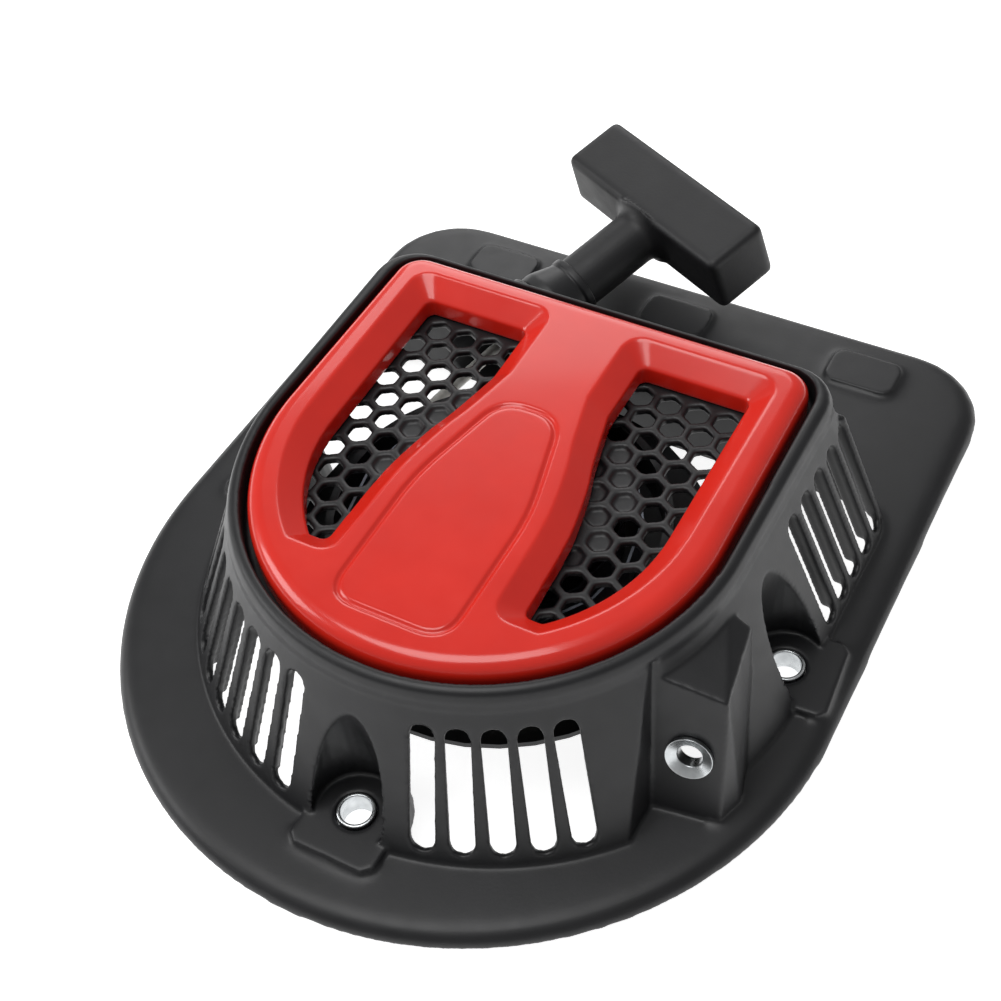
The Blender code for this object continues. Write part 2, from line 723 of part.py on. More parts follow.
def make_blower_housing():
    edge = [(flange_outline(inset), rise) for inset, rise in quarter_round(flange_edge, flange_top, 4)]
    housing = add_part(loft("blower_housing", edge), black_plastic)
    shell_boolean(housing, make_dome(), "UNION")
    for name, angle in bush_angles.items():
        reach = foot_radius + pad_reach
        outline = [(bush_circle - pad_half, -pad_half), (reach - pad_chamfer, -pad_half),
                   (reach, -pad_half + pad_chamfer), (reach, pad_half - pad_chamfer),
                   (reach - pad_chamfer, pad_half), (bush_circle - pad_half, pad_half)]
        pad = plate("pad_" + name, outline, flange_top - pad_root, pad_top)
        pad.matrix_basis = Matrix.Rotation(math.radians(angle), 4, "Z")
        shell_boolean(housing, pad, "UNION")
    for step in (-1, 0, 1):
        half_x = rear_pad_size[0] / 2
        half_y = rear_pad_size[1] / 2
        corners = [(-half_x, -half_y), (half_x, -half_y), (half_x, half_y), (-half_x, half_y)]
        outline = rounded([(x, y, rear_pad_corner) for x, y in corners], 3)
        pad = plate("rear_pad_%d" % (step + 2), outline, flange_top - pad_root,
                    flange_top + rear_pad_height)
        pad.matrix_basis = Matrix.Translation((rear_pad_middle + step * rear_pad_step,
                                               flange_rear - rear_pad_inset, 0.0))
        shell_boolean(housing, pad, "UNION")
    boss = on_pull_axis(cone("boss_outside", boss_radius, boss_radius, boss_face, boss_face + boss_depth))
    shell_boolean(housing, boss, "UNION")
    under = [(flange_outline(wall), -2 * mm), (flange_outline(wall), 0.4 * mm),
             (flange_outline(flange_edge), flange_top - wall)]
    shell_boolean(housing, loft("flange_inside", under))
    shell_boolean(housing, make_dome_hollow())
    inside_boss = cone("boss_inside", boss_radius - wall, boss_radius - wall, boss_face + boss_wall,
                       boss_face + boss_depth + 20 * mm)
    shell_boolean(housing, on_pull_axis(inside_boss))
    bore = cone("boss_bore", guide_spigot + gap, guide_spigot + gap, boss_face - 5 * mm,
                boss_face + boss_wall + 5 * mm)
    shell_boolean(housing, on_pull_axis(bore))
    recess = loft("cover_recess", [(recess_outline(), deck_top), (recess_outline(), cover_top)])
    shell_boolean(housing, recess)
    collar_low = reel_high + 2 * gap
    socket = insert_radius + gap
    socket_high = post_end + insert_length + gap
    post = [(collar_radius, deck_low + pad_root), (collar_radius, collar_low), (post_radius, collar_low),
            (post_radius, post_end), (socket, post_end), (socket, socket_high), (0.0, socket_high),
            (0.0, deck_low + pad_root)]
    shell_boolean(housing, turned("reel_post", post), "UNION")
    for name, angle in bush_angles.items():
        place = polar(bush_circle, angle)
        under = cone("bush_boss_" + name, bush_boss, bush_boss, 0.0, pad_top - 0.5 * mm, 20, place)
        shell_boolean(housing, under, "UNION")
        shell_boolean(housing, cone("bush_hole_" + name, bush_outer + gap, bush_outer + gap, -5 * mm,
                                    pad_top + 5 * mm, 20, place))
    tip = eyelet_at - block_normal * eyelet_hole_depth
    hole = cone("eyelet_hole", eyelet_tube + gap, eyelet_tube + gap, 0.0, eyelet_hole_depth + 8 * mm, 28)
    hole.matrix_basis = Matrix.Translation(tip) @ block_normal.to_track_quat("Z", "Y").to_matrix().to_4x4()
    shell_boolean(housing, hole)
    for index, place in enumerate(screw_places()):
        shell_boolean(housing, cone("screw_hole_%d" % (index + 1), screw_radius + gap, screw_radius + gap,
                                    deck_low - 5 * mm, deck_top + 5 * mm, 16, place))
    for index, frame_at in enumerate(slot_frames()):
        shell_boolean(housing, slot_cutter("slot_%02d" % (index + 1), frame_at))
    shell_boolean(housing, cell_cutters())


# ------------------------------------------------------------------ cover
def make_front_cover():
    sections = [(cover_outline(0.0), cover_low)]
    sections += [(cover_outline(inset), cover_top - cover_edge + rise)
                 for inset, rise in quarter_round(cover_edge, cover_edge, 4)]
    cover = add_part(loft("front_cover", sections), red_plastic)
    hollow = add_tool(loft("cover_inside", [(cover_outline(cover_wall), cover_low - 2 * mm),
                                            (cover_outline(cover_wall), cover_top - cover_edge),
                                            (cover_outline(cover_edge * 0.9), cover_top - cover_wall)]))
    slope = window_slope / window_slope_depth
    turn = cover_top - window_slope_depth
    sleeve = window_slope - window_sleeve
    for tool in both_sides("window_sleeve", [(sleeve, cover_low - 4 * mm), (sleeve, turn - 1.2 * mm),
                                             (sleeve - slope * 6 * mm, turn + 4.8 * mm)]):
        boolean(hollow, tool)
    for index, place in enumerate(screw_places()):
        boolean(hollow, cone("screw_boss_%d" % (index + 1), screw_boss, screw_boss, cover_low - 5 * mm,
                             cover_top, 20, place))
    boolean(cover, hollow)
    for tool in both_sides("window", [(window_slope, cover_low - 5 * mm), (window_slope, turn),
                                      (0.0, cover_top), (-slope * mm, cover_top + 1 * mm)]):
        boolean(cover, tool)
    right = [(x * mm, y * mm, rounding * mm) for x, y, rounding in panel_line]
    left = [(-x, y, rounding) for x, y, rounding in reversed(right)]
    line = [Vector((x, y, cover_top)) for x, y in rounded(right + left, 5)]
    boolean(cover, tube("panel_groove", line, panel_groove, closed=True))
    for index, place in enumerate(screw_places()):
        boolean(cover, cone("screw_pilot_%d" % (index + 1), screw_radius + gap, screw_radius + gap,
                            cover_low - 5 * mm, deck_low + screw_length + gap, 16, place))


def make_cover_screws():
    for index, place in enumerate(screw_places()):
        low = deck_low - gap
        high = low + screw_length
        profile = [(screw_radius, high - 1 * mm), (screw_radius, low), (screw_head, low),
                   (screw_head, low - screw_head_height * 0.6), (screw_head * 0.7, low - screw_head_height),
                   (0.0, low - screw_head_height), (0.0, high), (screw_radius * 0.4, high)]
        screw = add_part(turned("cover_screw_%d" % (index + 1), profile, 12), zinc_steel)
        screw.location = place


# ------------------------------------------------------------------ metal fittings
def make_mount_bushes():
    for name, angle in bush_angles.items():
        top = pad_top + bush_proud
        lip = 0.5 * mm
        profile = [(bush_outer - lip, top), (bush_outer, top - lip), (bush_outer, 0.0), (bush_bore, 0.0),
                   (bush_bore, top - lip), (bush_bore + lip * 0.6, top)]
        bush = add_part(turned("mount_bush_" + name, profile, 20), zinc_steel)
        bush.location = polar(bush_circle, angle)


def make_side_eyelet():
    high = gap + eyelet_lip
    low = high - eyelet_dish
    profile = [(eyelet_flange - eyelet_lip_round, high), (eyelet_flange, high - eyelet_lip_round),
               (eyelet_flange, gap), (eyelet_tube, gap), (eyelet_tube, -eyelet_length),
               (eyelet_bore, -eyelet_length), (eyelet_bore, low - eyelet_lip_round),
               (eyelet_bore + eyelet_lip_round, low)]
    eyelet = add_part(turned("side_eyelet", profile, 20), zinc_steel)
    eyelet.location = eyelet_at
    eyelet.rotation_euler = block_normal.to_track_quat("Z", "Y").to_euler()


def make_hub_stack():
    insert = [(insert_radius, post_end + insert_length), (insert_radius, post_end + gap),
              (bolt_radius + gap, post_end + gap), (bolt_radius + gap, post_end + insert_length)]
    add_part(turned("post_insert", insert, 16), zinc_steel)
    washer = [(washer_radius, washer_high), (washer_radius, washer_high - washer_thickness),
              (post_radius + gap, washer_high - washer_thickness), (post_radius + gap, washer_high)]
    add_part(turned("thrust_washer", washer, 24), bronze)
    disc = [(disc_radius, disc_high), (disc_radius, disc_high - disc_thickness),
            (bolt_radius + gap, disc_high - disc_thickness), (bolt_radius + gap, disc_high)]
    add_part(turned("retainer_disc", disc, 36), zinc_steel)
    waist = math.degrees(math.asin(clamp_waist_half / clamp_hub))
    right = [(clamp_reach, -clamp_end_half), (clamp_reach, clamp_end_half)]
    outline = right + arc((0.0, 0.0), clamp_hub, waist, 180.0 - waist, 10)
    outline += [(-x, -y) for x, y in outline]
    clamp = add_part(plate("clamp_bracket", outline, clamp_high - clamp_thickness, clamp_high), zinc_steel)
    clamp.rotation_euler.z = math.radians(notch_angle + 40.0)
    boolean(clamp, cone("clamp_hole", bolt_radius + gap, bolt_radius + gap, -10 * mm, 20 * mm, 24))
    low = bolt_seat - bolt_flange_thickness
    shank = [(bolt_radius, bolt_seat + bolt_grip), (bolt_radius, bolt_seat),
             (bolt_flange_radius, bolt_seat - gap), (bolt_flange_radius, low), (0.0, low),
             (0.0, bolt_seat + bolt_grip)]
    bolt = add_part(turned("centre_bolt", shank, 24), zinc_steel)
    corner = bolt_flats / math.sqrt(3)
    boolean(bolt, cone("bolt_hexagon", corner * 0.92, corner, low - bolt_head, low + 0.5 * mm, 6), "UNION")


# ------------------------------------------------------------------ reel and spring
def sector(name, inner, radius, half, low, high):
    """Wedge of a disc about the +X direction, angles in degrees."""
    outline = arc((0.0, 0.0), radius, -half, half, 6) + arc((0.0, 0.0), inner, half, -half, 6)
    return plate(name, outline, low, high)


def make_rope_reel():
    inner = reel_floor - reel_wall
    hub = hub_bore + hub_wall
    profile = [(reel_floor, cup_top), (reel_floor, reel_high), (reel_radius, reel_high),
               (reel_radius, groove_high), (reel_floor, groove_high), (reel_floor, groove_low),
               (reel_radius, groove_low),
               (reel_radius, reel_low), (reel_floor, reel_low), (reel_floor, skirt_low), (inner, skirt_low),
               (inner, groove_high), (hub, groove_high), (hub, groove_low), (hub_bore, groove_low),
               (hub_bore, reel_high), (inner, reel_high), (inner, cup_top)]
    reel = add_part(turned("rope_reel", profile, 40), black_plastic)
    for index in range(2):
        turn = Matrix.Rotation(math.radians(notch_angle + 180.0 * index), 4, "Z")
        outer = sector("notch_outside_%d" % (index + 1), reel_floor - reel_wall * 0.5,
                       reel_floor + notch_depth, notch_half, skirt_low, reel_low + pad_root)
        outer.matrix_basis = turn
        boolean(reel, outer, "UNION")
    for index in range(2):
        turn = Matrix.Rotation(math.radians(notch_angle + 180.0 * index), 4, "Z")
        space = sector("notch_inside_%d" % (index + 1), inner - 2 * mm, reel_floor + notch_depth - wall,
                       notch_half - notch_side, skirt_low - 2 * mm, reel_low - 0.6 * mm)
        space.matrix_basis = turn
        boolean(reel, space)
    inner = post_radius + gap
    outer = inner + reel_bush_wall
    bush = [(outer, reel_high - gap), (outer, groove_low + gap), (inner, groove_low + gap),
            (inner, reel_high - gap)]
    add_part(turned("reel_bush", bush, 24), bronze)
    outer = rope_run - rope_radius - gap
    inner = reel_floor + gap
    winding = [(outer, groove_high - gap), (outer, groove_low + gap), (inner, groove_low + gap),
               (inner, groove_high - gap)]
    add_part(turned("rope_winding", winding, 40), rope_white)


def make_reel_knot():
    place = polar(reel_floor + reel_knot_radius + 2 * mm, reel_knot_angle)
    shape = bmesh.new()
    squeeze = Matrix.Diagonal((1.15, 1.0, 0.95, 1.0))
    bmesh.ops.create_uvsphere(shape, u_segments=14, v_segments=8, radius=reel_knot_radius, matrix=squeeze)
    knot = add_part(mesh_object("reel_knot", shape), rope_white)
    knot.location = place + Vector((0.0, 0.0, reel_low - gap - reel_knot_radius))
    knot.rotation_euler.z = math.radians(reel_knot_angle + 90.0)
    tail = cone("reel_knot_tail", rope_radius, rope_radius, -1 * mm, 10 * mm, 12)
    tail.matrix_basis = knot.matrix_basis @ Matrix.Rotation(math.radians(90.0), 4, "Y")
    boolean(knot, tail, "UNION")


def make_recoil_spring():
    start = collar_radius + gap + spring_thickness
    end = reel_floor - reel_wall - gap - spring_thickness
    low = reel_high + spring_rise
    total = spring_turns * spring_points
    shape = bmesh.new()
    row = []
    for step in range(total + 1):
        radius = start + (end - start) * step / total
        place = polar(radius, 360.0 * step / spring_points)
        row.append((shape.verts.new((place.x, place.y, low)),
                    shape.verts.new((place.x, place.y, low + spring_height))))
    for (low_1, high_1), (low_2, high_2) in zip(row, row[1:]):
        shape.faces.new((low_1, low_2, high_2, high_1))
    mesh = bpy.data.meshes.new("recoil_spring")
    shape.to_mesh(mesh)
    shape.free()
    spring = add_part(bpy.data.objects.new("recoil_spring", mesh), spring_steel)
    thick = spring.modifiers.new("strip", "SOLIDIFY")
    thick.thickness = spring_thickness
    thick.offset = 0.0


# ------------------------------------------------------------------ rope, guide and handle
def make_rope_guide():
    bore = rope_radius + bore_play
    cup = stem_radius + gap + 0.05 * mm
    cup_floor = stem_end + gap + 0.5 * mm
    # local height is the distance from the bar, so the list starts at the far end
    profile = [(guide_spigot, guide_end), (guide_spigot, guide_seat), (guide_flare, guide_seat),
               (guide_flare, guide_flare_at), (guide_waist, guide_mouth + 2.5 * mm),
               (guide_ridge, guide_mouth + 2.0 * mm), (guide_ridge, guide_mouth), (cup, guide_mouth),
               (cup, cup_floor), (bore, cup_floor), (bore, guide_end - 3 * mm), (guide_exit, guide_end)]
    on_pull_axis(add_part(turned("rope_guide", profile, 24), black_plastic))


def make_handle():
    shape = bmesh.new()
    bmesh.ops.create_cube(shape, size=1.0)
    for corner in shape.verts:
        # local X is along the bar, local Z along the pull axis, local -Y up
        length = bar_length if corner.co.y < 0 else bar_low_length
        corner.co = (corner.co.x * length, corner.co.y * bar_height, corner.co.z * bar_depth)
    handle = on_pull_axis(add_part(mesh_object("handle_grip", shape), black_rubber))
    bevel = handle.modifiers.new("rounding", "BEVEL")
    bevel.width = bar_rounding
    bevel.segments = 3
    bevel.limit_method = "NONE"
    boolean(handle, on_pull_axis(cone("handle_stem", stem_radius, stem_radius, 0.0, stem_end, 32)), "UNION")
    boolean(handle, on_pull_axis(cone("handle_recess", knot_recess_radius, knot_recess_radius,
                                      -bar_depth, knot_recess_floor, 28)))
    hole = rope_radius + rope_play
    boolean(handle, on_pull_axis(cone("handle_bore", hole, hole, -bar_depth, stem_end + 5 * mm, 20)))
    seat = knot_recess_floor - gap
    washer = [(knot_washer_radius, seat), (knot_washer_radius, seat - knot_washer_thickness),
              (hole, seat - knot_washer_thickness), (hole, seat)]
    on_pull_axis(add_part(turned("knot_washer", washer, 20), zinc_steel))
    shape = bmesh.new()
    knot_at = seat - knot_washer_thickness - gap - knot_radius
    bmesh.ops.create_uvsphere(shape, u_segments=14, v_segments=8, radius=knot_radius,
                              matrix=Matrix.Translation((0.0, 0.0, knot_at)))
    on_pull_axis(add_part(mesh_object("handle_knot", shape), rope_white))
    return knot_at + knot_radius + gap


def make_rope_lead(last):
    """The stretch of rope from the reel, through the guide, to the knot in the handle."""
    entry = pull_point(guide_end + 10 * mm)
    leave = Vector((-rope_run, 0.0, rope_level))
    way = entry - leave
    route = [leave, leave + way * 0.25 + Vector((-1.2, 0.0, 0.3)) * mm,
             leave + way * 0.5 + Vector((-1.8, 0.0, 0.3)) * mm,
             leave + way * 0.78 + Vector((-1.2, 0.0, 0.0)) * mm, entry, pull_point(guide_end + 3 * mm),
             pull_point(guide_end - 2 * mm), pull_point(stem_end), pull_point(stem_end / 2),
             pull_point(last)]
    path = smooth_path(route, 3)
    add_part(tube("rope_lead", path, rope_radius), rope_white)


# ------------------------------------------------------------------ build
def place_origin():
    """Moves the whole assembly so that the origin is under the middle of its box."""
    bpy.context.view_layer.update()
    depsgraph = bpy.context.evaluated_depsgraph_get()
    low = Vector((1e9, 1e9, 1e9))
    high = -low
    for item in parts.objects:
        if item.type != "MESH":
            continue
        evaluated = item.evaluated_get(depsgraph)
        for vertex in evaluated.to_mesh().vertices:
            place = item.matrix_world @ vertex.co
            low = Vector(map(min, low, place))
            high = Vector(map(max, high, place))
        evaluated.to_mesh_clear()
    frame.location = (-(low.x + high.x) / 2, -(low.y + high.y) / 2, -low.z)
    bpy.context.view_layer.update()


make_blower_housing()
make_front_cover()
make_cover_screws()
make_mount_bushes()
make_side_eyelet()
make_hub_stack()
make_rope_reel()
make_reel_knot()
make_recoil_spring()
make_rope_guide()
make_rope_lead(make_handle())
place_origin()
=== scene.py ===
# Recoil starter of a small engine: moulded blower housing, glossy windowed cover, rope reel and T-handle.
# Everything is in metres and in the model's own frame; the handle points away from the camera.
import json
import math

import bmesh
import bpy
from mathutils import Matrix, Vector


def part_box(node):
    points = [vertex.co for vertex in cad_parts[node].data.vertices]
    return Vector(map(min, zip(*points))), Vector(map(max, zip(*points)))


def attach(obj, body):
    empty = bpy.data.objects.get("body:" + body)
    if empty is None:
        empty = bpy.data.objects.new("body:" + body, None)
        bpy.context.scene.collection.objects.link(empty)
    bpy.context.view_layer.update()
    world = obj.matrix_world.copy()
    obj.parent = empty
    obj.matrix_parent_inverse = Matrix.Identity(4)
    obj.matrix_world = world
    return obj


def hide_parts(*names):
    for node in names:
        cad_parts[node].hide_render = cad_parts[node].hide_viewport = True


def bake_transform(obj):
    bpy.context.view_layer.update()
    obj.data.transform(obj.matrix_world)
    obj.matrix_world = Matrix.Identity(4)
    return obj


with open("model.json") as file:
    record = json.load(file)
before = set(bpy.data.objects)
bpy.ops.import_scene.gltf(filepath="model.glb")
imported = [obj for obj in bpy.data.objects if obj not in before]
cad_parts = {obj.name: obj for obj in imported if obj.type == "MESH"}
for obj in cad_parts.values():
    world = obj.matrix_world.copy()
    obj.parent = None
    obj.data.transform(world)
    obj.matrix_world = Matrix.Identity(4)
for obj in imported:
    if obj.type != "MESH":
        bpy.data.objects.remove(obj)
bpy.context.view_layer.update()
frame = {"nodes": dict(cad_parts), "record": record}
nodes = frame["nodes"]
record = frame["record"]
joints = {joint["name"]: joint for joint in record["behaviour"]["joints"]}
mm = 0.001
weldGap = 0.005 * mm

# places that every piece is measured from
reelAxis = Vector(joints["reel_spin"]["pos_m"])
reelAxis.z = 0.0
pullWay = Vector(joints["handle_pull"]["axis"]).normalized()


def middleOf(nodeName):
    low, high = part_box(nodeName)
    return (Vector(low) + Vector(high)) / 2


# the knot's washer lies in the middle of the bar, a little in front
washerAhead = 0.1 * mm
barMiddle = middleOf("knot_washer") + pullWay * washerAhead
barWay = pullWay.cross(Vector((0.0, 0.0, 1.0))).normalized()
backWay = -pullWay
pullTurn = Matrix((barWay, backWay.cross(barWay), backWay)).transposed().to_4x4()
pullFrame = Matrix.Translation(barMiddle) @ pullTurn
print("frame read")


# what a finish has unless its own look says otherwise
plainLook = {"metal": 0.0, "coat": 0.0, "coatRoughness": 0.05, "gloss": 0.5, "sheen": 0.0,
             "stretch": (1.0, 1.0, 1.0), "mottleScale": 45.0, "mottleFrom": 0.35, "mottleTo": 0.68,
             "edgeFrom": 0.53, "edgeTo": 0.62, "roughScale": 160.0, "grainStrength": 0.3}


def newFinish(name, look):
    # mottled colour, uneven roughness, fine grain as bump, and paler worn edges
    look = {**plainLook, **look}
    material = bpy.data.materials.new(name)
    material.use_nodes = True
    tree = material.node_tree
    shader = tree.nodes["Principled BSDF"]
    shader.inputs["Metallic"].default_value = look["metal"]
    shader.inputs["Coat Weight"].default_value = look["coat"]
    shader.inputs["Coat Roughness"].default_value = look["coatRoughness"]
    shader.inputs["Specular IOR Level"].default_value = look["gloss"]
    shader.inputs["Sheen Weight"].default_value = look["sheen"]
    place = tree.nodes.new("ShaderNodeTexCoord")
    stretch = tree.nodes.new("ShaderNodeMapping")
    stretch.inputs["Scale"].default_value = look["stretch"]
    tree.links.new(place.outputs["Object"], stretch.inputs["Vector"])

    def noise(scale, detail=3.0):
        made = tree.nodes.new("ShaderNodeTexNoise")
        made.inputs["Scale"].default_value = scale
        made.inputs["Detail"].default_value = detail
        tree.links.new(stretch.outputs["Vector"], made.inputs["Vector"])
        return made.outputs["Fac"]

    mottle = tree.nodes.new("ShaderNodeValToRGB")
    mottle.color_ramp.elements[0].position = look["mottleFrom"]
    mottle.color_ramp.elements[1].position = look["mottleTo"]
    mottle.color_ramp.elements[0].color = (*look["shade"], 1.0)
    mottle.color_ramp.elements[1].color = (*look["colour"], 1.0)
    tree.links.new(noise(look["mottleScale"]), mottle.inputs["Fac"])
    colour = mottle.outputs["Color"]
    if "worn" in look:
        edge = tree.nodes.new("ShaderNodeNewGeometry")
        edgeRamp = tree.nodes.new("ShaderNodeMapRange")
        edgeRamp.inputs["From Min"].default_value = look["edgeFrom"]
        edgeRamp.inputs["From Max"].default_value = look["edgeTo"]
        edgeRamp.inputs["To Max"].default_value = look["wornMost"]
        tree.links.new(edge.outputs["Pointiness"], edgeRamp.inputs["Value"])
        wear = tree.nodes.new("ShaderNodeMix")
        wear.data_type = "RGBA"  # its colour sockets are 6 and 7, and its colour comes out of 2
        tree.links.new(edgeRamp.outputs["Result"], wear.inputs["Factor"])
        tree.links.new(colour, wear.inputs[6])
        wear.inputs[7].default_value = (*look["worn"], 1.0)
        colour = wear.outputs[2]
    tree.links.new(colour, shader.inputs["Base Color"])
    rough = tree.nodes.new("ShaderNodeMapRange")
    rough.inputs["To Min"].default_value = look["rough"][0]
    rough.inputs["To Max"].default_value = look["rough"][1]
    tree.links.new(noise(look["roughScale"]), rough.inputs["Value"])
    tree.links.new(rough.outputs["Result"], shader.inputs["Roughness"])
    grain = tree.nodes.new("ShaderNodeBump")
    grain.inputs["Strength"].default_value = look["grainStrength"]
    grain.inputs["Distance"].default_value = look["grain"]
    tree.links.new(noise(look["grainScale"], 2.0), grain.inputs["Height"])
    tree.links.new(grain.outputs["Normal"], shader.inputs["Normal"])
    return material


housingLook = {"colour": (0.0072, 0.0073, 0.0085), "shade": (0.0052, 0.0053, 0.0062), "rough": (0.38, 0.5),
               "grain": 0.05 * mm, "grainScale": 1500.0, "grainStrength": 0.35, "gloss": 0.42,
               "worn": (0.05, 0.05, 0.054), "wornMost": 0.35}
coverLook = {"colour": (0.62, 0.019, 0.0095), "shade": (0.57, 0.016, 0.008), "rough": (0.2, 0.28),
             "grain": 0.02 * mm, "grainScale": 500.0, "grainStrength": 0.12, "gloss": 0.4,
             "coat": 0.35, "coatRoughness": 0.08, "worn": (0.85, 0.07, 0.05), "wornMost": 0.25}
rubberLook = {"colour": (0.0095, 0.0095, 0.0105), "shade": (0.006, 0.006, 0.007), "rough": (0.42, 0.58),
              "grain": 0.06 * mm, "grainScale": 1100.0, "grainStrength": 0.4, "gloss": 0.4,
              "worn": (0.045, 0.045, 0.048), "wornMost": 0.4}
zincLook = {"colour": (0.62, 0.64, 0.65), "shade": (0.45, 0.47, 0.48), "rough": (0.2, 0.36), "metal": 1.0,
            "grain": 0.02 * mm, "grainScale": 900.0, "grainStrength": 0.25, "mottleScale": 220.0,
            "worn": (0.9, 0.9, 0.9), "wornMost": 0.4}
springLook = {"colour": (0.3, 0.32, 0.36), "shade": (0.2, 0.22, 0.26), "rough": (0.28, 0.42), "metal": 1.0,
              "grain": 0.02 * mm, "grainScale": 700.0, "stretch": (1.0, 1.0, 0.15)}
bronzeLook = {"colour": (0.56, 0.38, 0.16), "shade": (0.42, 0.27, 0.11), "rough": (0.35, 0.5), "metal": 1.0,
              "grain": 0.04 * mm, "grainScale": 1600.0}
ropeLook = {"colour": (0.80, 0.79, 0.75), "shade": (0.62, 0.60, 0.55), "rough": (0.75, 0.92), "sheen": 0.3,
            "grain": 0.15 * mm, "grainScale": 1800.0, "grainStrength": 0.6, "mottleScale": 350.0}
housingPlastic = newFinish("housingPlastic", housingLook)
coverPlastic = newFinish("coverPlastic", coverLook)
gripRubber = newFinish("gripRubber", rubberLook)
zincPlate = newFinish("zincPlate", zincLook)
springSteel = newFinish("springSteel", springLook)
bearingBronze = newFinish("bearingBronze", bronzeLook)
ropeFibre = newFinish("ropeFibre", ropeLook)
print("finishes made")


def addPiece(name, mesh, material, body, slotName, *replaced, sharp=35.0):
    mesh.materials.clear()
    mesh.materials.append(material)
    mesh.shade_smooth()
    if sharp:
        mesh.set_sharp_from_angle(angle=math.radians(sharp))
    piece = bpy.data.objects.new(name, mesh)
    bpy.context.scene.collection.objects.link(piece)
    if body:
        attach(piece, body)
    if replaced:
        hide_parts(*replaced)
    return piece


def meshFrom(name, shape):
    bmesh.ops.recalc_face_normals(shape, faces=shape.faces)
    mesh = bpy.data.meshes.new(name)
    shape.to_mesh(mesh)
    shape.free()
    return mesh


def arcPoints(centre, radius, start, end, steps):
    turns = [math.radians(start + (end - start) * step / steps) for step in range(steps + 1)]
    return [(centre[0] + radius * math.cos(turn), centre[1] + radius * math.sin(turn)) for turn in turns]


def softCorners(corners, radius, steps=5, sideShare=0.45):
    # closed outline with every corner rounded, by less where its sides are short
    outline = []
    for index, corner in enumerate(corners):
        here = Vector(corner)
        back = Vector(corners[index - 1]) - here
        ahead = Vector(corners[(index + 1) % len(corners)]) - here
        reach = min(radius, back.length * sideShare, ahead.length * sideShare)
        first = here + back.normalized() * reach
        last = here + ahead.normalized() * reach
        for step in range(steps + 1):
            share = step / steps
            bend = first * (1 - share) ** 2 + here * 2 * share * (1 - share) + last * share ** 2
            outline.append(tuple(bend))
    return outline


def smoothLine(points, steps):
    # a curve that passes through every point
    ends = [2 * points[0] - points[1]] + points + [2 * points[-1] - points[-2]]
    line = []
    for before, start, end, after in zip(ends, ends[1:], ends[2:], ends[3:]):
        for step in range(steps):
            t = step / steps
            square = 2 * before - 5 * start + 4 * end - after
            cube = 3 * start - 3 * end + after - before
            line.append(0.5 * (2 * start + (end - before) * t + square * t * t + cube * t ** 3))
    return line + [points[-1]]


def turnedMesh(name, profile, steps, place):
    # closed profile of (radius, height) spun about local Z
    shape = bmesh.new()
    points = [shape.verts.new((max(radius, 0.0), 0.0, height)) for radius, height in profile]
    edges = [shape.edges.new(pair) for pair in zip(points, points[1:] + points[:1])]
    bmesh.ops.spin(shape, geom=points + edges, cent=(0, 0, 0), axis=(0, 0, 1), angle=math.tau, steps=steps,
                   use_merge=True)
    bmesh.ops.remove_doubles(shape, verts=shape.verts, dist=weldGap)
    bmesh.ops.transform(shape, matrix=place, verts=shape.verts)
    return meshFrom(name, shape)


def loftMesh(name, sections):
    shape = bmesh.new()
    rings = [[shape.verts.new((x, y, z)) for x, y in outline] for outline, z in sections]
    for low, high in zip(rings, rings[1:]):
        for index in range(len(low)):
            after = (index + 1) % len(low)
            shape.faces.new((low[index], low[after], high[after], high[index]))
    shape.faces.new(list(reversed(rings[0])))
    shape.faces.new(rings[-1])
    return meshFrom(name, shape)


def holder(name, mesh):
    item = bpy.data.objects.new(name, mesh)
    bpy.context.scene.collection.objects.link(item)
    return item


def cut(item, tool, way="DIFFERENCE"):
    made = item.modifiers.new(tool.name, "BOOLEAN")
    made.operation = way
    made.solver = "EXACT"
    made.object = tool


def finished(item, tools=()):
    # the mesh with its modifiers applied; the helpers are cleared away
    bpy.context.view_layer.update()
    mesh = bpy.data.meshes.new_from_object(item.evaluated_get(bpy.context.evaluated_depsgraph_get()))
    for spent in [item, *tools]:
        bpy.data.objects.remove(spent, do_unlink=True)
    return mesh


def castMesh(name, mesh, voxel, passes, keep=1.0):
    # rounds every edge as a moulding has it: fine skin, laid back on the shape, then smoothing
    item = holder(name, mesh)
    shape = holder(name + "Shape", mesh.copy())
    skin = item.modifiers.new("skin", "REMESH")
    skin.mode = "VOXEL"
    skin.voxel_size = voxel
    lay = item.modifiers.new("lay", "SHRINKWRAP")
    lay.wrap_method = "NEAREST_SURFACEPOINT"
    lay.target = shape
    soften = item.modifiers.new("soften", "SMOOTH")
    soften.factor = 0.5
    soften.iterations = passes
    if keep < 1.0:
        item.modifiers.new("thin", "DECIMATE").ratio = keep
    return finished(item, [shape])


def copyOf(nodeName):
    # a welded copy of a CAD node's mesh
    shape = bmesh.new()
    shape.from_mesh(nodes[nodeName].data)
    bmesh.ops.remove_doubles(shape, verts=shape.verts, dist=0.4 * weldGap)
    return meshFrom(nodeName + "Copy", shape)


housing = {"voxel": 0.65 * mm, "passes": 6, "keep": 0.6, "frontStep": 90.0 / 14, "flangeStep": 90.77 / 14,
           "flangeShift": Vector((-4.6, -7.5, 0.0)) * mm, "flangeHigh": 5.9 * mm, "flangeFrom": 98 * mm,
           "rimPasses": 24, "roundFrom": 50 * mm}


def onFlange(place):
    return place.z < housing["flangeHigh"] and (place - reelAxis).xy.length > housing["flangeFrom"]


